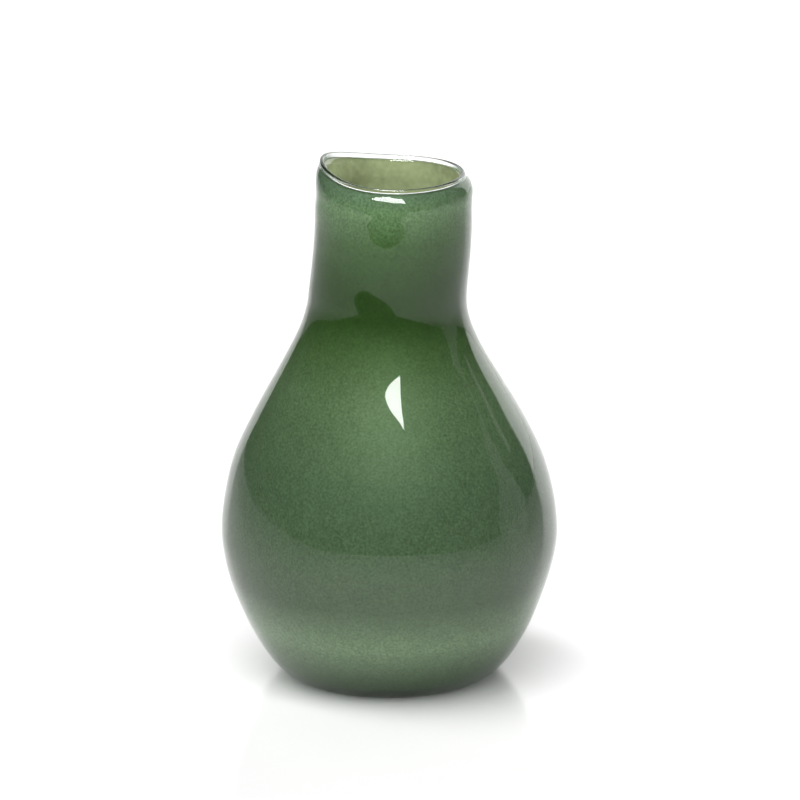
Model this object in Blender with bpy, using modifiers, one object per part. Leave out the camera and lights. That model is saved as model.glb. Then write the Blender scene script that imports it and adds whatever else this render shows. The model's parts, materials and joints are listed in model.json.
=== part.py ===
"""Blown glass sake bottle: a jade green colour layer cased in clear glass, with a clear lip pulled to one side.

Metres, +Z up. The bottle stands on z = 0, and the middle of its belly is on the Z axis.
Every layer is a turned section, and the same hand shaping then leans the neck and pulls the lip of them all.
"""

import math

import bpy
import numpy as np

MM = 0.001

# Outside of the bottle
LIP_TOP = 144.1 * MM  # at the front of the lip
NECK_HEIGHT = 109.0 * MM  # where the shoulder has become the neck
BELLY_HEIGHT = 41.8 * MM  # where the belly is widest
BELLY_DIAMETER = 94.0 * MM
FOOT_DIAMETER = 55.0 * MM
NECK_DIAMETER = 44.2 * MM
MOUTH_DIAMETER = 43.4 * MM
HEEL_ANGLE = math.radians(15.0)  # how steeply the heel leaves the foot
HEEL_FULLNESS = 0.478  # these four are lengths of curve handles, as a share of the stretch they round
LOW_BELLY_FULLNESS = 0.305
SHOULDER_FULLNESS = 0.433
NECK_SWEEP = 0.269

# Thickness of each layer of glass
CASING_WALL_BELLY = 3.0 * MM
CASING_WALL_NECK = 2.0 * MM
CASING_BASE = 4.2 * MM
CASING_THINS_FROM = 0.4  # how far up the shoulder the casing starts to thin, as a share of it
COLOUR_WALL = 0.8 * MM
LINING_WALL = 0.6 * MM
LAYER_GAP = 0.3 * MM
FLOOR_INSET = 1.6 * MM  # the floor inside is this much smaller than the foot, all round

# The lip's bead, and how the layers end below it
LIP_STAND = 1.1 * MM  # above the casing's top
LIP_DEPTH = 1.8 * MM  # down to the edge of the colour
LIP_WALL = 1.2 * MM
BEAD_SQUARENESS = 0.7  # 1 is an oval section, and less is squarer
EDGE_RADIUS = 5.2 * MM  # of the casing's round edge
EDGE_REACH = 0.95  # how much of the casing's wall that edge takes, as a share of it
MOUTH_CLOSING = 0.5 * MM  # how far the inside closes in at the mouth
CLOSING_DEPTH = 11.0 * MM  # how far below the lip it starts to close

# Ground foot and the hollow in it
FOOT_RING_WIDTH = 7.2 * MM
KICK_HEIGHT = 2.3 * MM
PONTIL_DIAMETER = 16.0 * MM
PONTIL_THICKNESS = 1.5 * MM
PONTIL_EDGE = 0.4 * MM  # thickness at its rim
PONTIL_TAPER = 0.9  # its flat, as a share of its diameter

# Hand shaping. The leans are along X, and each runs between shares of the way up the shoulder or the neck
SHOULDER_LEAN = -1.15 * MM
SHOULDER_LEAN_FROM = 0.23
SHOULDER_LEAN_TO = 0.81
NECK_LEAN = 2.2 * MM
NECK_LEAN_FROM = 0.87  # of the shoulder
NECK_LEAN_TO = 0.64  # of the neck
LIP_LEAN = 0.7 * MM
LIP_LEAN_FROM = 0.7
SPOUT_ANGLE = math.radians(165.0)
SPOUT_SHARPNESS = 6.0
SPOUT_RISE = 3.3 * MM
SPOUT_PULL = 2.3 * MM
LIP_WAVE = 0.35 * MM
PULL_DEPTH = 6.3 * MM  # how far below the lip the pull is felt

SEGMENTS = 40
SIDE_STEPS = 9  # points along each of the two curves of the side
EDGE_STEPS = 4  # points round the casing's edge
BEAD_STEPS = 12  # points round the lip's bead
LEAST_STEP = 0.4 * MM  # between two rows of points
MERGE_DISTANCE = 0.01 * MM


def smooth_step(low, high, values):
    """0 below low, 1 above high, and an S curve between them."""
    t = np.clip((values - low) / (high - low), 0.0, 1.0)
    return t * t * (3.0 - 2.0 * t)


def bezier(start, out_handle, in_handle, end, steps):
    """Cubic curve from start to end, without its last point."""
    t = np.linspace(0.0, 1.0, steps, endpoint=False)[:, None]
    first = (1 - t) ** 3 * start + 3 * (1 - t) ** 2 * t * out_handle
    return first + 3 * (1 - t) * t**2 * in_handle + t**3 * end


def lower_curve(foot, belly):
    """Round the heel, from the edge of a flat bottom to the widest place."""
    heel = HEEL_FULLNESS * (belly[0] - foot[0]) * np.array([math.cos(HEEL_ANGLE), math.sin(HEEL_ANGLE)])
    rise = np.array([0.0, LOW_BELLY_FULLNESS * (belly[1] - foot[1])])
    return bezier(foot, foot + heel, belly - rise, belly, SIDE_STEPS)


def upper_curve():
    """The outside from the widest place over the shoulder and up the neck, as (radius, height) rows."""
    belly = np.array([BELLY_DIAMETER / 2, BELLY_HEIGHT])
    neck = np.array([NECK_DIAMETER / 2, NECK_HEIGHT])
    rise = EDGE_RADIUS * math.sin(edge_turn())
    mouth = np.array([MOUTH_DIAMETER / 2, LIP_TOP - LIP_STAND - rise])
    shoulder = np.array([0.0, SHOULDER_FULLNESS * (neck[1] - belly[1])])
    sweep = NECK_SWEEP * (neck[1] - belly[1]) * (neck - mouth) / np.linalg.norm(neck - mouth)
    slope = bezier(belly, belly + shoulder, neck + sweep, neck, SIDE_STEPS)
    calm = neck + (mouth - neck) * (LIP_TOP - PULL_DEPTH - neck[1]) / (mouth[1] - neck[1])
    return np.concatenate([slope, np.linspace(neck, calm, 3), [mouth]])


def edge_turn():
    """How far the casing's edge turns inwards, so that its arc takes its share of the wall at the mouth."""
    return math.acos(1.0 - EDGE_REACH * (CASING_WALL_NECK + MOUTH_CLOSING) / EDGE_RADIUS)


def casing_wall(heights):
    """Even at the belly, and thinner towards the neck."""
    shoulder = NECK_HEIGHT - BELLY_HEIGHT
    neck = smooth_step(BELLY_HEIGHT + CASING_THINS_FROM * shoulder, NECK_HEIGHT, heights)
    return CASING_WALL_BELLY + (CASING_WALL_NECK - CASING_WALL_BELLY) * neck


def wall_at(depth, top):
    """A surface inside the casing, depth further in than the casing's own, from the axis up to the height top."""
    upper = upper_curve()
    along = np.gradient(upper, axis=0)
    along[0] = (0.0, 1.0)
    normals = np.stack([-along[:, 1], along[:, 0]], axis=1)
    normals = normals / np.linalg.norm(normals, axis=1)[:, None]
    upper = upper + normals * (casing_wall(upper[:, 1]) + depth)[:, None]
    floor = np.array([FOOT_DIAMETER / 2 - FLOOR_INSET - depth, CASING_BASE + depth])
    bottom = np.array([[0.0, floor[1]], [floor[0] / 2, floor[1]]])
    rows = np.concatenate([bottom, lower_curve(floor, upper[0]), upper])
    rows[:, 0] -= MOUTH_CLOSING * smooth_step(LIP_TOP - CLOSING_DEPTH, LIP_TOP - LIP_DEPTH, rows[:, 1])
    kept = rows[rows[:, 1] < top - LEAST_STEP]
    return np.vstack([kept, [rows[-1, 0], top]])


def turned(name, section, material):
    """A closed solid turned from section, which goes up the inside, over the rim and down the outside."""
    rows = [(radius, 0.0, height) for radius, height in section]
    edges = [(i, i + 1) for i in range(len(rows) - 1)]
    on_axis = section[0][0] == 0.0 and section[-1][0] == 0.0
    if not on_axis:
        edges.append((len(rows) - 1, 0))
    profile = bpy.data.meshes.new(name + "_profile")
    profile.from_pydata(rows, edges, [])
    pattern = bpy.data.objects.new(name + "_profile", profile)
    bpy.context.scene.collection.objects.link(pattern)
    screw = pattern.modifiers.new("Turn", "SCREW")
    screw.steps = SEGMENTS
    screw.render_steps = SEGMENTS
    screw.use_merge_vertices = True
    screw.merge_threshold = MERGE_DISTANCE
    graph = bpy.context.evaluated_depsgraph_get()
    mesh = bpy.data.meshes.new_from_object(pattern.evaluated_get(graph))
    bpy.data.objects.remove(pattern)
    mesh.name = name
    shape_by_hand(mesh)
    mesh.shade_smooth()
    mesh.materials.clear()
    mesh.materials.append(material)
    solid = bpy.data.objects.new(name, mesh)
    bpy.data.collections["sake_bottle"].objects.link(solid)
    return solid


def shape_by_hand(mesh):
    """Leans the neck along X, then raises the lip and pulls it outwards at the spout."""
    points = np.empty(len(mesh.vertices) * 3, np.float32)
    mesh.vertices.foreach_get("co", points)
    points = points.reshape(-1, 3).astype(float)
    x, y, z = points.T
    turn = np.arctan2(y, x)
    spout = ((1.0 + np.cos(turn - SPOUT_ANGLE)) / 2.0) ** SPOUT_SHARPNESS
    felt = smooth_step(LIP_TOP - PULL_DEPTH, LIP_TOP, z)
    points[:, 0] += lean(z) + SPOUT_PULL * math.cos(SPOUT_ANGLE) * spout * felt
    points[:, 1] += SPOUT_PULL * math.sin(SPOUT_ANGLE) * spout * felt
    points[:, 2] += (SPOUT_RISE * spout + LIP_WAVE * np.cos(turn) ** 2) * felt
    mesh.vertices.foreach_set("co", points.astype(np.float32).ravel())
    mesh.update()


def lean(heights):
    """How far the middle of the bottle stands off the Z axis, along X, at each height."""
    shoulder = NECK_HEIGHT - BELLY_HEIGHT
    neck = LIP_TOP - NECK_HEIGHT
    low_start = BELLY_HEIGHT + SHOULDER_LEAN_FROM * shoulder
    low = smooth_step(low_start, BELLY_HEIGHT + SHOULDER_LEAN_TO * shoulder, heights)
    middle_start = BELLY_HEIGHT + NECK_LEAN_FROM * shoulder
    middle = smooth_step(middle_start, NECK_HEIGHT + NECK_LEAN_TO * neck, heights)
    high = smooth_step(NECK_HEIGHT + LIP_LEAN_FROM * neck, LIP_TOP, heights)
    return SHOULDER_LEAN * low + NECK_LEAN * middle + LIP_LEAN * high


def glass(name, colour, roughness):
    """A Principled material for one of the kinds of glass."""
    material = bpy.data.materials.new(name)
    material.use_nodes = True
    shader = material.node_tree.nodes["Principled BSDF"]
    shader.inputs["Base Color"].default_value = (*colour, 1.0)
    shader.inputs["Roughness"].default_value = roughness
    shader.inputs["Metallic"].default_value = 0.0
    shader.inputs["IOR"].default_value = 1.5
    material.diffuse_color = (*colour, 1.0)
    return material


def kick_height(radii):
    """The hollow under the base: a dome that runs out flat at the foot ring."""
    share = np.clip(radii / (FOOT_DIAMETER / 2 - FOOT_RING_WIDTH), 0.0, 1.0)
    return KICK_HEIGHT * (1.0 - share**2) ** 2


def clear_casing():
    """The outer gather of clear glass, with the heavy base, the ground foot and the round shoulder at the lip."""
    foot = np.array([FOOT_DIAMETER / 2, 0.0])
    upper = upper_curve()
    low = upper[-1]
    turn = np.linspace(edge_turn(), 0.0, EDGE_STEPS, endpoint=False)
    edge = low + EDGE_RADIUS * np.stack([np.cos(turn) - 1.0, np.sin(turn)], axis=1)
    inside = wall_at(0.0, (low[1] + edge[0, 1]) / 2)
    ring = foot - (FOOT_RING_WIDTH, 0.0)
    radii = ring[0] * np.linspace(1.0, 0.0, 5)[1:]
    hollow = np.stack([radii, kick_height(radii)], axis=1)
    section = np.vstack([inside, edge, upper[::-1], lower_curve(foot, upper[0])[::-1], ring, hollow])
    return turned("clear_casing", section, glass("clear_glass", (0.86, 0.93, 0.88), 0.04))


def layer(name, depth, wall, material):
    """One of the inner layers: depth below the casing's inside, wall thick, ended below the lip's bead."""
    top = LIP_TOP - LIP_DEPTH
    section = np.vstack([wall_at(depth + wall, top), wall_at(depth, top)[::-1]])
    return turned(name, section, material)


def lip_wrap():
    """The clear bead of the lip: it stands in the casing's mouth, over the edges of the two layers inside it."""
    outside = wall_at(0.0, LIP_TOP)[-1, 0] - LAYER_GAP
    height = LIP_DEPTH - LAYER_GAP
    turn = np.linspace(0.0, -2 * math.pi, BEAD_STEPS, endpoint=False)
    across = outside - LIP_WALL / 2 + LIP_WALL / 2 * squared(np.cos(turn))
    upward = LIP_TOP - height / 2 + height / 2 * squared(np.sin(turn))
    section = np.stack([across, upward], axis=1)
    return turned("lip_wrap", section, glass("lip_glass", (0.90, 0.95, 0.90), 0.03))


def squared(values):
    """Makes a circle's coordinates those of a rounder-cornered square."""
    return np.sign(values) * np.abs(values) ** BEAD_SQUARENESS


def pontil_pad():
    """The button of glass that the pontil iron leaves in the hollow of the base, ground flat below."""
    radii = PONTIL_DIAMETER / 2 * np.linspace(0.0, 1.0, 4)
    above = np.stack([radii, kick_height(radii) - LAYER_GAP], axis=1)
    flat = KICK_HEIGHT - LAYER_GAP - PONTIL_THICKNESS
    above[:, 1] = np.maximum(above[:, 1], flat + PONTIL_EDGE)
    below = np.array([[radii[-1] * PONTIL_TAPER, flat], [0.0, flat]])
    section = np.vstack([above, below])
    return turned("pontil_pad", section, glass("ground_glass", (0.80, 0.88, 0.82), 0.25))


def main():
    for old in list(bpy.data.objects):
        bpy.data.objects.remove(old)
    bottle = bpy.data.collections.new("sake_bottle")
    bpy.context.scene.collection.children.link(bottle)
    clear_casing()
    layer("green_layer", LAYER_GAP, COLOUR_WALL, glass("jade_glass", (0.09, 0.17, 0.07), 0.2))
    lining_depth = LAYER_GAP + COLOUR_WALL + LAYER_GAP
    layer("inner_lining", lining_depth, LINING_WALL, glass("lining_glass", (0.42, 0.50, 0.28), 0.05))
    lip_wrap()
    pontil_pad()


main()
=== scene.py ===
import json
import math

import bpy
import numpy as np
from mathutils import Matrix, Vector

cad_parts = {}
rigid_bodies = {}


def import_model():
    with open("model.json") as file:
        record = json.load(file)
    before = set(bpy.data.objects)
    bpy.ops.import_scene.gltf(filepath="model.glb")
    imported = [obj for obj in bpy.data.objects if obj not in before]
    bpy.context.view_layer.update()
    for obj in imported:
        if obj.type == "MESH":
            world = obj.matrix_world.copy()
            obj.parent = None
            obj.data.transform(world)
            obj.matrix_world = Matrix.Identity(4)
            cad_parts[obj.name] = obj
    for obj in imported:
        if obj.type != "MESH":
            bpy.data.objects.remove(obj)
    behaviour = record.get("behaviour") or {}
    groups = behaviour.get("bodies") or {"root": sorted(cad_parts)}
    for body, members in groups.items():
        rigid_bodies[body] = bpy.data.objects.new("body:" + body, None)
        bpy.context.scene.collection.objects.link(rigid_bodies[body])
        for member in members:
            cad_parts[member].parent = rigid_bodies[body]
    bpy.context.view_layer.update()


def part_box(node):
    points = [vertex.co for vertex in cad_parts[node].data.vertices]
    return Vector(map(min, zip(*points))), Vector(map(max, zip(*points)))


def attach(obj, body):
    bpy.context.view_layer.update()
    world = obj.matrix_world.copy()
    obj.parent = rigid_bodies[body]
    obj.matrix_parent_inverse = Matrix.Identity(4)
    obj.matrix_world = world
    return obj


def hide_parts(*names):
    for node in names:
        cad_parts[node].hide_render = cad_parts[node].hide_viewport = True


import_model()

mm = 0.001
casingLow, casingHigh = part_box("clear_casing")
bellyRadius = (casingHigh.y - casingLow.y) / 2
scene = bpy.context.scene
segments = 256                   # how many faces each turned piece has all round

form = {                         # the blown form that every layer of glass shares
    "lipTop": 144.1 * mm,        # at the front of the lip
    "neckHeight": 109.0 * mm,    # where the shoulder has become the neck
    "bellyHeight": 41.8 * mm,    # where the belly is widest
    "footRadius": 27.5 * mm,
    "neckRadius": 22.1 * mm,
    "mouthRadius": 21.7 * mm,
    "heelAngle": math.radians(15.0),
    "heelFullness": 0.478,       # these four are curve handles, as a share of the stretch they round
    "lowBellyFullness": 0.305,
    "shoulderFullness": 0.433,
    "neckSweep": 0.269,
    "wallAtBelly": 3.0 * mm,     # of the clear casing
    "wallAtNeck": 2.0 * mm,
    "thinFrom": 0.4,             # how far up the shoulder the wall starts to thin, as a share of it
    "baseThickness": 4.2 * mm,
    "floorInset": 1.6 * mm,      # the floor inside is this much smaller than the foot
    "footRing": 7.2 * mm,        # width of the ring that it stands on
    "kick": 2.3 * mm,            # height of the hollow under the base
    "lipDrop": 5.7 * mm,         # from the lip's top to where the casing's edge starts to round
    "mouthClosing": 0.5 * mm,    # how far the inside closes in at the mouth
    "closingDepth": 11.0 * mm,   # how far below the lip it starts to close
    "colourDrop": 1.2 * mm,      # from the lip's top to the edge of the colour
}
colourTop = form["lipTop"] - form["colourDrop"]

hand = {                         # what the maker's hand did to the turned form
    "leans": [                   # along X: how far, and the heights between which it comes in
        (-0.9 * mm, 57.256 * mm, 96.232 * mm),
        (2.0 * mm, 100.264 * mm, 131.464 * mm),
        (0.7 * mm, 133.57 * mm, 144.1 * mm),
    ],
    "spoutAngle": math.radians(165.0),
    "spoutSharpness": 6.0,
    "spoutRise": 3.3 * mm,
    "spoutPull": 2.3 * mm,
    "lipWave": 0.35 * mm,
    "pullDepth": 6.3 * mm,       # how far below the lip the pull is felt
}

waves = {                        # the slow unevenness that blowing leaves on the outside
    "height": 0.035 * mm,
    "lengths": (31 * mm, 23 * mm, 17 * mm),
    "turns": (2, 3, 5),          # how many times each goes round
    "shifts": (0.4, 2.1, 4.4),
    "fadeIn": (4 * mm, 14 * mm),  # the heights between which they grow
    "fadeOut": (9 * mm, 5 * mm),  # how far below the lip they start and stop fading
    "rings": [                   # soft swellings all round: height, half width, how far they stand out
        (39 * mm, 8 * mm, 0.10 * mm),
        (54 * mm, 9 * mm, -0.12 * mm),
        (86 * mm, 8 * mm, 0.20 * mm),
    ],
    "swells": [                  # soft bumps: angle, half angle, height, half width, how far they stand out
        (180, 60, 62 * mm, 10 * mm, 0.45 * mm),
        (180, 60, 28 * mm, 8 * mm, 0.40 * mm),
        (-97, 30, 129.5 * mm, 5 * mm, 0.11 * mm),
        (-102, 34, 107.0 * mm, 5.5 * mm, 0.20 * mm),
    ],
}


def smoothStep(low, high, values):
    # 0 below low, 1 above high, t t (3 - 2 t) between them
    t = np.clip((values - low) / (high - low), 0.0, 1.0)
    return t * t * (3.0 - 2.0 * t)


def bezier(start, outHandle, inHandle, end, steps):
    # the cubic with these four points, without its last point
    t = np.linspace(0.0, 1.0, steps, endpoint=False)[:, None]
    first = (1 - t) ** 3 * start + 3 * (1 - t) ** 2 * t * outHandle
    return first + 3 * (1 - t) * t**2 * inHandle + t**3 * end


def lowerCurve(foot, belly, steps=36):
    # round the heel, as a cubic from the edge of a flat bottom to the widest place
    heel = form["heelFullness"] * (belly[0] - foot[0])
    outward = np.array([math.cos(form["heelAngle"]), math.sin(form["heelAngle"])])
    rise = np.array([0.0, form["lowBellyFullness"] * (belly[1] - foot[1])])
    return bezier(foot, foot + heel * outward, belly - rise, belly, steps)


def upperCurve(steps=72):
    # over the shoulder as a cubic, then straight up the neck
    belly = np.array([bellyRadius, form["bellyHeight"]])
    neck = np.array([form["neckRadius"], form["neckHeight"]])
    mouth = np.array([form["mouthRadius"], form["lipTop"] - form["lipDrop"]])
    rise = np.array([0.0, form["shoulderFullness"] * (neck[1] - belly[1])])
    sweep = form["neckSweep"] * (neck[1] - belly[1]) * (neck - mouth) / np.linalg.norm(neck - mouth)
    slope = bezier(belly, belly + rise, neck + sweep, neck, steps)
    return np.concatenate([slope, np.linspace(neck, mouth, steps // 2)])


def innerSurface(depth, top):
    # the upper curve moved along its normals by the casing's wall and depth, on a flat floor with its own
    # heel. It closes in by a smooth step near the lip, and ends as a straight line up to top
    upper = upperCurve()
    along = np.gradient(upper, axis=0)
    along[0] = (0.0, 1.0)
    normals = np.stack([-along[:, 1], along[:, 0]], axis=1)
    normals = normals / np.linalg.norm(normals, axis=1)[:, None]
    shoulder = form["neckHeight"] - form["bellyHeight"]
    thinStart = form["bellyHeight"] + form["thinFrom"] * shoulder
    thin = smoothStep(thinStart, form["neckHeight"], upper[:, 1])
    wall = form["wallAtBelly"] + (form["wallAtNeck"] - form["wallAtBelly"]) * thin
    upper = upper + normals * (wall + depth)[:, None]
    corner = np.array([form["footRadius"] - form["floorInset"] - depth, form["baseThickness"] + depth])
    radii = np.linspace(0.0, 1.0, 12, endpoint=False) * corner[0]
    floor = np.stack([radii, np.full(len(radii), corner[1])], axis=1)
    rows = np.concatenate([floor, lowerCurve(corner, upper[0]), upper])
    closed = smoothStep(form["lipTop"] - form["closingDepth"], colourTop, rows[:, 1])
    rows[:, 0] -= form["mouthClosing"] * closed
    kept = rows[rows[:, 1] < top - 0.1 * mm]  # leaves no sliver below the last stretch
    rise = np.linspace(kept[-1, 1], top, 6)[1:]
    return np.vstack([kept, np.stack([np.full(len(rise), rows[-1, 0]), rise], axis=1)])


def kickHeight(radii):
    # the hollow under the base: kick (1 - s s) (1 - s s), where s is the radius as a share of the hollow's
    share = np.clip(radii / (form["footRadius"] - form["footRing"]), 0.0, 1.0)
    return form["kick"] * (1.0 - share**2) ** 2


def shapeByHand(points):
    # moves each point along X by a smooth step of its height for each lean, then raises the lip and pulls it
    # outwards at the spout by ((1 + cos(turn - angle)) / 2) ^ sharpness, with a wave of cos(turn)^2 round it
    x, y, z = points.T
    turn = np.arctan2(y, x)
    spout = ((1.0 + np.cos(turn - hand["spoutAngle"])) / 2.0) ** hand["spoutSharpness"]
    felt = smoothStep(form["lipTop"] - hand["pullDepth"], form["lipTop"], z)
    shaped = points.copy()
    for shift, start, end in hand["leans"]:
        shaped[:, 0] += shift * smoothStep(start, end, z)
    shaped[:, 0] += hand["spoutPull"] * math.cos(hand["spoutAngle"]) * spout * felt
    shaped[:, 1] += hand["spoutPull"] * math.sin(hand["spoutAngle"]) * spout * felt
    shaped[:, 2] += (hand["spoutRise"] * spout + hand["lipWave"] * np.cos(turn) ** 2) * felt
    return shaped


def handWaves(section, turns):
    # waves, each cos(n turn + shift) sin(2 pi z / length + shift), that fade out at the foot and the lip,
    # with rings, each exp(-((z - height) / width)^2),
    # and swells, the same times exp(-((turn - angle) / spread)^2)
    z = section[:, 1][:, None]
    total = np.zeros((len(section), len(turns)))
    for length, times, shift in zip(waves["lengths"], waves["turns"], waves["shifts"]):
        total += np.cos(times * turns + shift) * np.sin(2 * math.pi * z / length + shift)
    fadeTop, fadeEnd = waves["fadeOut"]
    fade = 1 - smoothStep(form["lipTop"] - fadeTop, form["lipTop"] - fadeEnd, z)
    total *= waves["height"] * smoothStep(*waves["fadeIn"], z) * fade
    for height, width, stand in waves["rings"]:
        total += stand * np.exp(-(((z - height) / width) ** 2))
    for angle, spread, height, width, stand in waves["swells"]:
        aside = np.degrees(np.angle(np.exp(1j * (turns - math.radians(angle))))) / spread
        total += stand * np.exp(-(((z - height) / width) ** 2) - aside**2)
    return total


def turnedPiece(name, section, material, outside=None):
    # section turned about the Z axis: point (i, j) is (r_i cos t_j, r_i sin t_j, z_i), shaped by hand
    # afterwards. outside marks the rows that take the hand's waves
    closedAtAxis = section[0, 0] == 0.0
    middle = section[1:-1] if closedAtAxis else section
    turns = np.linspace(0.0, 2 * math.pi, segments, endpoint=False)
    radii = np.repeat(middle[:, :1], segments, axis=1)
    if outside is not None:
        radii = radii + handWaves(middle, turns) * outside[1:-1, None]
    heights = np.repeat(middle[:, 1:], segments, axis=1)
    points = np.stack([radii * np.cos(turns), radii * np.sin(turns), heights], axis=2).reshape(-1, 3)
    rows = len(middle)
    here = np.arange(rows * segments).reshape(rows, segments)
    beside = np.roll(here, -1, axis=1)
    above = here[1:] if closedAtAxis else np.roll(here, -1, axis=0)
    aboveBeside = beside[1:] if closedAtAxis else np.roll(beside, -1, axis=0)
    span = len(above)
    quads = np.stack([here[:span], above, aboveBeside, beside[:span]], axis=2).reshape(-1, 4)
    faces = quads.tolist()
    if closedAtAxis:
        start, end = len(points), len(points) + 1
        points = np.vstack([points, [0, 0, section[0, 1]], [0, 0, section[-1, 1]]])
        first = np.stack([np.full(segments, start), here[0], beside[0]], axis=1)
        last = np.stack([np.full(segments, end), beside[-1], here[-1]], axis=1)
        faces += first.tolist() + last.tolist()
    mesh = bpy.data.meshes.new(name)
    mesh.from_pydata(shapeByHand(points).tolist(), [], faces)
    mesh.shade_smooth()
    mesh.materials.append(material)
    piece = bpy.data.objects.new(name, mesh)
    scene.collection.objects.link(piece)
    return piece


def mark(piece, name, values):
    # gives each point of a closed turned piece its row's value, and the two on the axis those of the ends
    points = np.concatenate([np.repeat(values[1:-1], segments), values[[0, -1]]])
    marked = piece.data.attributes.new(name, "FLOAT", "POINT")
    marked.data.foreach_set("value", points.astype(np.float32))


pieceNames = []


def place(piece, slot, *nodes):
    pieceNames.append(piece.name)
    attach(piece, "root")
    if nodes:
        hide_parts(*nodes)
    print("made", piece.name, len(piece.data.polygons), "faces")


class Wire:                      # a socket of a node tree, so that sums on values are written as sums
    def __init__(self, net, socket):
        self.net, self.socket = net, socket

    def output(self, name):
        return Wire(self.net, self.socket.node.outputs[name])

    def math(self, operation, *others):
        return self.net.add("Math", {"operation": operation}, dict(enumerate([self, *others])))

    def __add__(self, other):
        return self.math("ADD", other)

    def __sub__(self, other):
        return self.math("SUBTRACT", other)

    def __rsub__(self, other):
        return self.net.add("Math", {"operation": "SUBTRACT"}, {0: other, 1: self})

    def __mul__(self, other):
        return self.math("MULTIPLY", other)

    def __truediv__(self, other):
        return self.math("DIVIDE", other)

    __radd__ = __add__
    __rmul__ = __mul__


class Net:                       # the node tree of a material or the world
    def __init__(self, owner):
        owner.use_nodes = True
        self.tree = owner.node_tree
        self.tree.nodes.clear()

    def add(self, kind, settings=None, sockets=None):
        node = self.tree.nodes.new("ShaderNode" + kind)
        for name, value in (settings or {}).items():
            if name == "stops":
                self.setStops(node.color_ramp, value)
            else:
                setattr(node, name, value)
        for name, value in (sockets or {}).items():
            if isinstance(value, Wire):
                self.tree.links.new(value.socket, node.inputs[name])
            else:
                node.inputs[name].default_value = value
        return Wire(self, node.outputs[0]) if node.outputs else node

    def setStops(self, ramp, stops):
        while len(ramp.elements) < len(stops):
            ramp.elements.new(1.0)
        for element, (position, colour) in zip(ramp.elements, stops):
            element.position, element.color = position, (*colour, 1.0)

    def step(self, low, high, value):  # 0 below low, 1 above high, smooth between
        return self.add("MapRange", {"interpolation_type": "SMOOTHSTEP"}, {0: value, 1: low, 2: high})

    def band(self, low, high, soft, value):  # 1 from low to high, fading over soft at both ends
        rise = self.step(low - soft / 2, low + soft / 2, value)
        return rise * (1 - self.step(high - soft / 2, high + soft / 2, value))

    def grey(self, value):       # one value as a colour
        return self.add("CombineXYZ", None, {0: value, 1: value, 2: value})

    def blend(self, kind, factor, first, second):  # two colours through a Mix node
        settings = {"data_type": "RGBA", "blend_type": kind}
        return self.add("Mix", settings, {0: factor, 6: first, 7: second}).output(2)

    def noise(self, where, scale, detail=3.0):
        return self.add("TexNoise", None, {"Vector": where, "Scale": scale, "Detail": detail}).output("Fac")


def newMaterial(name):
    material = bpy.data.materials.new(name)
    net = Net(material)
    return material, net, net.add("TexCoord").output("Object")


clearLook = {                    # the finish of the clear glass
    "tint": (0.97, 0.985, 0.97),
    "edge": (0.97, 0.985, 0.97),  # where the glass is seen at a slant
    "edgeFrom": 0.6,             # 0 where the glass faces the eye, and 1 at its outline
    "edgeTo": 0.9,
    "refraction": 1.5,
    "roughness": 0.0,
    "smears": 0.004,             # how much rougher the handled patches are
    "smearScale": 55.0,
    "smearFrom": 0.5,            # noise below this leaves the glass clean, and above the next is all smear
    "smearTo": 0.75,
    "pits": 0.02,                # strength of the fine unevenness
    "pitDepth": 0.1 * mm,
    "pitScale": 320.0,
}


def clearGlass(name, look):
    material, net, position = newMaterial(name)
    slanted = net.add("LayerWeight").output("Facing")
    edge = net.step(look["edgeFrom"], look["edgeTo"], slanted)
    smears = net.step(look["smearFrom"], look["smearTo"], net.noise(position, look["smearScale"]))
    bump = net.add("Bump", None, {
        "Strength": look["pits"],
        "Distance": look["pitDepth"],
        "Height": net.noise(position, look["pitScale"]),
    })
    glass = net.add("BsdfPrincipled", None, {
        "Base Color": net.blend("MIX", edge, (*look["tint"], 1.0), (*look["edge"], 1.0)),
        "Roughness": smears * look["smears"] + look["roughness"],
        "IOR": look["refraction"],
        "Transmission Weight": 1.0,
        "Normal": bump,
    })
    through = net.add("BsdfTransparent", None, {"Color": (*look["tint"], 1.0)})
    rays = net.add("LightPath")  # light that only passes on its way to the colour or the table goes straight
    soft = net.add("MixShader", None, {0: rays.output("Is Diffuse Ray"), 1: glass, 2: through})
    surface = net.add("MixShader", None, {0: rays.output("Is Shadow Ray"), 1: soft, 2: through})
    net.add("OutputMaterial", None, {"Surface": surface})
    return material


casing = {
    **clearLook,
    "depth": 0.25 * mm,          # its inside reaches this far into the colour, so no air shows between them
    "colourGap": 0.1 * mm,       # its inside stops this far below the colour's edge
    "edgeRadius": 5.2 * mm,      # of the round edge under the lip
    "edgeTurn": math.radians(62.5),
    "throatRise": 0.1 * mm,      # the slope inside the lip starts this far above the colour's edge
    "throatInset": 0.45 * mm,    # and ends this far inwards
    "throatDrop": 0.15 * mm,     # and this far below the top of the round edge
}


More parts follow.
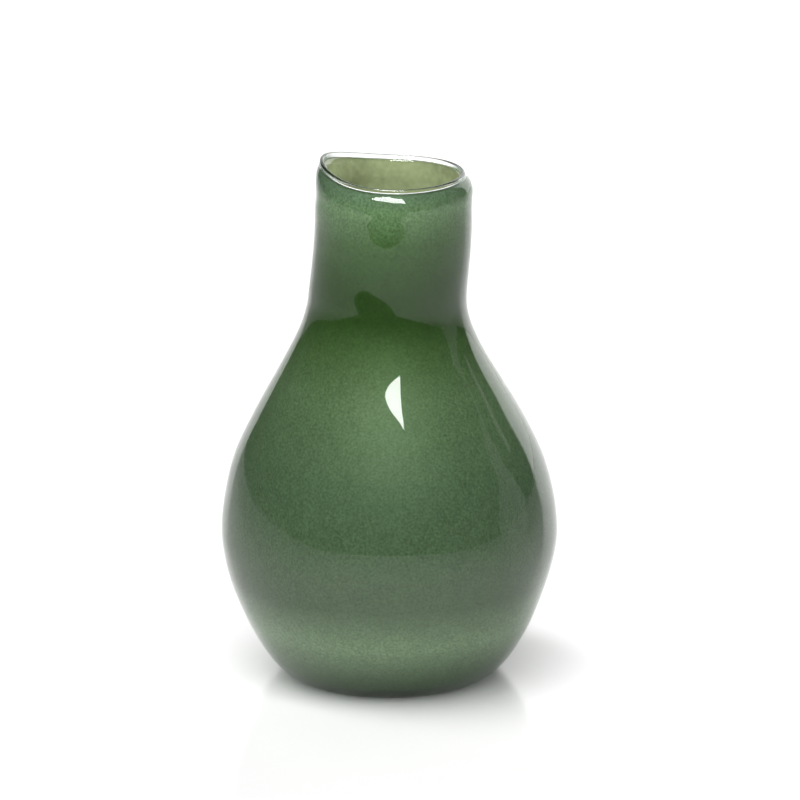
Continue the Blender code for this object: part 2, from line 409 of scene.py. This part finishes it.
def clearCasing():
    # the inside, a straight throat, the edge as an arc, the outside down to the heel, and the hollow base
    foot = np.array([form["footRadius"], 0.0])
    upper = upperCurve()
    low = upper[-1]
    inside = innerSurface(casing["depth"], colourTop - casing["colourGap"])
    mouthInside = innerSurface(0.0, colourTop)[-1, 0]
    turn = np.linspace(casing["edgeTurn"], 0.0, 16, endpoint=False)
    turn = np.insert(turn, 1, 0.99 * turn[0])  # keeps the crease under the lip crisp
    across = low[0] - casing["edgeRadius"] * (1 - np.cos(turn))
    edge = np.stack([across, low[1] + casing["edgeRadius"] * np.sin(turn)], axis=1)
    throatStart = [mouthInside, colourTop + casing["throatRise"]]
    throatEnd = [mouthInside - casing["throatInset"], edge[0, 1] - casing["throatDrop"]]
    throat = np.linspace(throatStart, throatEnd, 8)
    radii = (foot[0] - form["footRing"]) * np.linspace(1.0, 0.0, 24)
    hollow = np.stack([radii, kickHeight(radii)], axis=1)
    heel = lowerCurve(foot, upper[0])[::-1]
    section = np.vstack([inside, throat, edge, upper[::-1], heel, hollow])
    outside = np.zeros(len(section))
    first = len(inside) + len(throat) + len(edge)
    outside[first:first + len(upper) + len(heel)] = 1.0
    piece = turnedPiece("casing_glass", section, clearGlass("clearCasingGlass", casing), outside)
    place(piece, "clear_glass", "clear_casing")


jade = {
    "near": 0.15 * mm,           # depth of its two faces below the casing's inside
    "far": 1.25 * mm,
    "creaseShadeDepth": 0.6 * mm,        # of its painted shade just under the lip, a dark band along the crease
    "colour": (0.105, 0.185, 0.090),
    "inside": (0.57, 0.64, 0.36),  # the face towards the mouth, painted lighter than the outer face: painted light that stands for light coming through the layer
    "back": (0.21, 0.29, 0.125),  # light that has come through the layer
    # painted shade: the colour goes near-black along the crease under the lip
    "rim": (0.015, 0.03, 0.012),
    "through": 0.35,             # how much of the light comes through
    "roughness": 0.42,
    "gleam": 0.35,
    "gleamTint": (0.7, 1.0, 0.62),
    "densityAndPaintedLight": [                 # height in metres, and how light the colour is there: partly the colour's own depth, partly painted light. The pale band near 18 mm is painted light from the table on the lower belly
        (0.000, (0.40, 0.52, 0.36)), (0.008, (0.85, 0.90, 0.80)), (0.018, (2.25, 2.0, 2.2)),
        (0.030, (0.84, 0.79, 0.84)), (0.060, (0.66, 0.64, 0.70)), (0.085, (0.83, 0.80, 0.76)),
        (0.098, (0.46, 0.54, 0.34)), (0.106, (0.20, 0.31, 0.11)), (0.113, (0.21, 0.32, 0.12)),
        (0.120, (0.31, 0.45, 0.21)), (0.128, (0.54, 0.68, 0.40)), (0.1375, (1.48, 1.48, 1.38)),
        (0.1420, (1.6, 1.5, 1.8)),
    ],
    "highest": 0.150,            # where the ramp of those colours ends
    "patches": (260.0, 0.3),     # scale of the noise, and how strong it is
    "grain": (1600.0, 1.7),
    "seedScale": 95.0,           # dark specks: how close together, and their radius as a share of that
    "seedSize": 0.032,
    "seedDepth": 0.85,
    "clouds": (90.0, 0.9),       # of the face towards the mouth, on the next value as their base
    "wisps": (600.0, 0.6),
    "cloudBase": 0.25,
}


def jadeGlass(look):
    material, net, position = newMaterial("jadeGlass")
    height = net.add("SeparateXYZ", None, {0: position}).output("Z")
    # the ramp holds half of each value, because it stops at 1, and the colour is doubled below
    stops = [(z / look["highest"], tuple(c / 2 for c in light)) for z, light in look["densityAndPaintedLight"]]
    doubled = (*[2 * c for c in look["colour"]], 1.0)
    # the colour made lighter and darker by height, partly painted light, such as the pale band near 18 mm
    densityAndPaintedLight = net.add("ValToRGB", {"stops": stops}, {0: height / look["highest"]})
    patchScale, patches = look["patches"]
    grainScale, grain = look["grain"]
    mottle = net.noise(position, patchScale) * patches + net.noise(position, grainScale, 2.0) * grain
    seeds = net.add("TexVoronoi", None, {"Vector": position, "Scale": look["seedScale"]}).output("Distance")
    seed = 1 - net.step(look["seedSize"] * 0.7, look["seedSize"], seeds)
    light = net.blend("MULTIPLY", 1.0, densityAndPaintedLight, net.grey(mottle * (1 - seed * look["seedDepth"])))
    outer = net.blend("MULTIPLY", 1.0, light, doubled)
    cloudScale, clouds = look["clouds"]
    wispScale, wisps = look["wisps"]
    cloudy = net.noise(position, cloudScale, 4.0) * clouds + net.noise(position, wispScale) * wisps
    inner = net.blend("MULTIPLY", 1.0, net.grey(cloudy + look["cloudBase"]), (*look["inside"], 1.0))
    inside = net.add("Attribute", {"attribute_name": "inside"}).output("Fac")
    # marks the painted shade band in the crease under the lip
    rim = net.add("Attribute", {"attribute_name": "rim"}).output("Fac")
    # the face towards the mouth takes the lighter inside colour, painted light coming through the layer
    sides = net.blend("MIX", inside, outer, inner)
    face = net.add("BsdfPrincipled", None, {
        "Base Color": net.blend("MIX", rim, sides, (*look["rim"], 1.0)),
        "Roughness": look["roughness"],
        "Specular IOR Level": look["gleam"],
        "Specular Tint": (*look["gleamTint"], 1.0),
    })
    back = net.add("BsdfTranslucent", None, {"Color": (*look["back"], 1.0)})
    surface = net.add("MixShader", None, {0: look["through"], 1: face, 2: back})
    net.add("OutputMaterial", None, {"Surface": surface})
    return material


def jadeLayer():
    # the surface at the far depth upwards, and the one at the near depth back down
    inner = innerSurface(jade["far"], colourTop)
    section = np.vstack([inner, innerSurface(jade["near"], colourTop)[::-1]])
    piece = turnedPiece("jade_layer", section, jadeGlass(jade))
    rows = np.arange(len(section))
    mark(piece, "inside", rows < len(inner))
    # the painted crease shade: the top rows of the colour's outer face
    mark(piece, "rim", (rows >= len(inner) - 1) & (section[:, 1] > colourTop - jade["creaseShadeDepth"]))
    place(piece, "jade_glass", "green_layer")


lining = {
    **clearLook,
    "near": 1.15 * mm,           # it reaches into the colour too
    "far": 2.0 * mm,
}


def liningGlass():
    # the surface at the far depth upwards, and the one at the near depth back down
    inner = innerSurface(lining["far"], colourTop)
    section = np.vstack([inner, innerSurface(lining["near"], colourTop)[::-1]])
    piece = turnedPiece("lining_glass", section, clearGlass("liningGlass", lining))
    place(piece, "lining_glass", "inner_lining")


lip = {
    **clearLook,
    # painted shade: the clear lip is coloured near-black green where seen at a slant, a painted dark outline
    # for the dark edges refraction gives it
    "edge": (0.06, 0.10, 0.06),
    "edgeFrom": 0.35,
    "edgeTo": 0.7,
    "inset": 0.3 * mm,           # from the casing's inside
    "wall": 1.2 * mm,
    "height": 1.45 * mm,
    "roundness": 0.95,           # 1 is an ellipse, and less is squarer
}


def lipBead():
    # a squared ellipse: each of cos t and sin t to the power of roundness, with its sign kept
    outer = innerSurface(0.0, form["lipTop"])[-1, 0] - lip["inset"]
    turn = np.linspace(0.0, -2 * math.pi, 40, endpoint=False)
    circle = np.stack([np.cos(turn), np.sin(turn)], axis=1)
    rounded = np.sign(circle) * np.abs(circle) ** lip["roundness"]
    half = np.array([lip["wall"], lip["height"]]) / 2
    section = np.array([outer, form["lipTop"]]) - half + half * rounded
    piece = turnedPiece("lip_bead", section, clearGlass("lipGlass", lip))
    place(piece, "lip_glass", "lip_wrap")


button = {
    **clearLook,
    "tint": (0.9, 0.95, 0.9),
    "roughness": 0.25,
    "smears": 0.2,
    "pits": 0.4,
    "radius": 8.0 * mm,
    "below": 0.5 * mm,           # height of its ground face
    "gap": 0.3 * mm,             # to the hollow above it
    "thinnest": 0.4 * mm,
    "bevel": 0.9,                # radius of the ground face, as a share of the button's
}


def pontilButton():
    # the hollow's own curve, moved down by the gap, above a flat ground face
    radii = button["radius"] * np.linspace(0.0, 1.0, 16)
    heights = np.maximum(kickHeight(radii) - button["gap"], button["below"] + button["thinnest"])
    above = np.stack([radii, heights], axis=1)
    below = np.array([[radii[-1] * button["bevel"], button["below"]], [0.0, button["below"]]])
    piece = turnedPiece("ground_pontil", np.vstack([above, below]), clearGlass("groundGlass", button))
    place(piece, "ground_glass", "pontil_pad")


table = {
    "pale": 0.74,
    "roughness": 0.1,
    "grain": 0.03,               # how much rougher its grain is
    "grainScale": 40.0,
    "reach": 4.0,                # to the sides, the back and the front
    "nearEdge": 0.55,            # how far the part in front that lights the bottle reaches
}


def tableMaterial():
    material, net, position = newMaterial("paleTable")
    grain = net.noise(position, table["grainScale"])
    surface = net.add("BsdfPrincipled", None, {
        "Base Color": (table["pale"], table["pale"], table["pale"], 1.0),
        "Roughness": grain * table["grain"] + table["roughness"],
    })
    net.add("OutputMaterial", None, {"Surface": surface})
    return material


def tableSheet(name, fromY, toY, material):
    # one flat rectangle at height 0
    side = table["reach"]
    mesh = bpy.data.meshes.new(name)
    corners = [(-side, fromY, 0.0), (side, fromY, 0.0), (side, toY, 0.0), (-side, toY, 0.0)]
    mesh.from_pydata(corners, [], [(0, 1, 2, 3)])
    mesh.materials.append(material)
    sheet = bpy.data.objects.new(name, mesh)
    scene.collection.objects.link(sheet)
    return sheet


studio = {                       # angles are in degrees: azimuth from the front towards +X, and elevation
    "room": 0.035,               # the dark front of the room
    "rightWhite": 2.2,           # the sides and the back, where their light meets the glass
    "rightEdge": (129, 133),
    "leftWhite": 1.4,
    "leftEdge": (-148, -146),
    "whiteTop": (30, 42),        # the elevations over which both whites end
    "ceiling": 0.15,
    "ceilingFrom": (50, 80),
    "lamps": [                   # smaller bright places. Spread widens one downwards from lampWaist
        {"azimuth": (91, 102), "elevation": (-25, 24), "spread": 0.6, "soft": 1.5, "level": 0.45},
        {"azimuth": (113, 117), "elevation": (14, 60), "spread": 0.0, "soft": 2.0, "level": 0.6},
    ],
    "lampWaist": 16,
}


def buildWorld():
    world = bpy.data.worlds.new("studio")
    scene.world = world
    net = Net(world)
    direction = net.add("TexCoord").output("Generated")
    parts = net.add("SeparateXYZ", None, {0: direction})
    x, y, z = parts, parts.output("Y"), parts.output("Z")
    azimuth = x.math("ARCTAN2", 0.0 - y) * (180 / math.pi)
    elevation = z.math("ARCSINE") * (180 / math.pi)
    right = net.step(*studio["rightEdge"], azimuth) * studio["rightWhite"]
    left = (1 - net.step(*studio["leftEdge"], azimuth)) * studio["leftWhite"]
    level = (right + left) * (1 - net.step(*studio["whiteTop"], elevation)) + studio["room"]
    level = level + net.step(*studio["ceilingFrom"], elevation) * studio["ceiling"]
    for lamp in studio["lamps"]:
        widened = (studio["lampWaist"] - elevation).math("MAXIMUM", 0.0) * lamp["spread"]
        start, end = lamp["azimuth"]
        soft = lamp["soft"] / 2
        rise = net.step(start - soft, start + soft, azimuth + widened)
        across = rise * (1 - net.step(end - soft, end + soft, azimuth - widened))
        level = level + across * net.band(*lamp["elevation"], lamp["soft"], elevation) * lamp["level"]
    seen = net.add("LightPath").output("Is Camera Ray")  # behind the bottle all is plain white
    background = net.add("Background", None, {"Strength": level * (1 - seen) + seen})
    net.add("OutputWorld", None, {"Surface": background})


softboxes = {
    "distance": 6.0,
    "aim": 0.09,                 # height of the middle of the boxes' spheres
    "columns": 33,               # of points in each box
    "rows": 9,
    "glass": {                   # slant is its rise for each degree of azimuth. Shine lets it be reflected
        "name": "softbox", "azimuth": (-55, 17.5), "elevation": (44.1, 74),
        "slant": -0.27, "level": 20.0, "shine": True,
    },
    "table": {
        "name": "overhead", "azimuth": (-130, 56), "elevation": (55, 90),
        "slant": 0.0, "level": 9.0, "shine": False,
    },
}


def softbox(look, lit):
    # part of a sphere round the bottle: point (i, j) lies at azimuth a_j and elevation e_i + slant a_j
    azimuths = np.radians(np.linspace(*look["azimuth"], softboxes["columns"]))
    elevations = np.radians(np.linspace(*look["elevation"], softboxes["rows"]))
    a, e = np.meshgrid(azimuths, elevations)
    e = e + look["slant"] * a
    away = np.stack([np.sin(a) * np.cos(e), -np.cos(a) * np.cos(e), np.sin(e)], axis=2)
    points = softboxes["distance"] * away.reshape(-1, 3) + np.array([0.0, 0.0, softboxes["aim"]])
    here = np.arange(a.size).reshape(a.shape)
    quads = np.stack([here[:-1, :-1], here[1:, :-1], here[1:, 1:], here[:-1, 1:]], axis=2).reshape(-1, 4)
    mesh = bpy.data.meshes.new(look["name"])
    mesh.from_pydata(points.tolist(), [], quads.tolist())
    material = bpy.data.materials.new(look["name"])
    net = Net(material)
    net.add("OutputMaterial", None, {"Surface": net.add("Emission", None, {"Strength": look["level"]})})
    mesh.materials.append(material)
    box = bpy.data.objects.new(look["name"], mesh)
    scene.collection.objects.link(box)
    box.visible_camera = False
    box.visible_shadow = False
    box.visible_glossy = look["shine"]
    box.visible_transmission = look["shine"]
    receivers = bpy.data.collections.new("lit by " + look["name"])
    for thing in lit:
        receivers.objects.link(thing)
    box.light_linking.receiver_collection = receivers


def buildStudio():
    glassPieces = [thing for thing in scene.objects if thing.name in pieceNames]
    pale = tableMaterial()
    top = tableSheet("table", -table["nearEdge"], table["reach"], pale)
    front = tableSheet("table_front", -table["reach"], -table["nearEdge"], pale)
    front.visible_diffuse = False
    front.visible_glossy = False
    front.visible_transmission = False
    front.visible_shadow = False
    softbox(softboxes["glass"], glassPieces)
    softbox(softboxes["table"], [top, front])
    buildWorld()
    scene.view_settings.view_transform = "Standard"
    scene.view_settings.look = "None"


view = {
    "lens": 360.0,
    "sensor": 36.0,
    "place": (0.0029, -2.1395, 0.7122),
    "pitch": math.radians(16.5),  # how far it looks down
    "farthest": 20.0,
}


def buildCamera():
    camera = bpy.data.cameras.new("camera")
    camera.lens = view["lens"]
    camera.sensor_width = view["sensor"]
    camera.clip_end = view["farthest"]
    holder = bpy.data.objects.new("camera", camera)
    holder.location = view["place"]
    holder.rotation_euler = (math.pi / 2 - view["pitch"], 0.0, 0.0)
    scene.collection.objects.link(holder)
    scene.camera = holder


print("turning the layers of glass")
clearCasing()
jadeLayer()
liningGlass()
lipBead()
pontilButton()

print("setting up the studio")
buildStudio()
buildCamera()
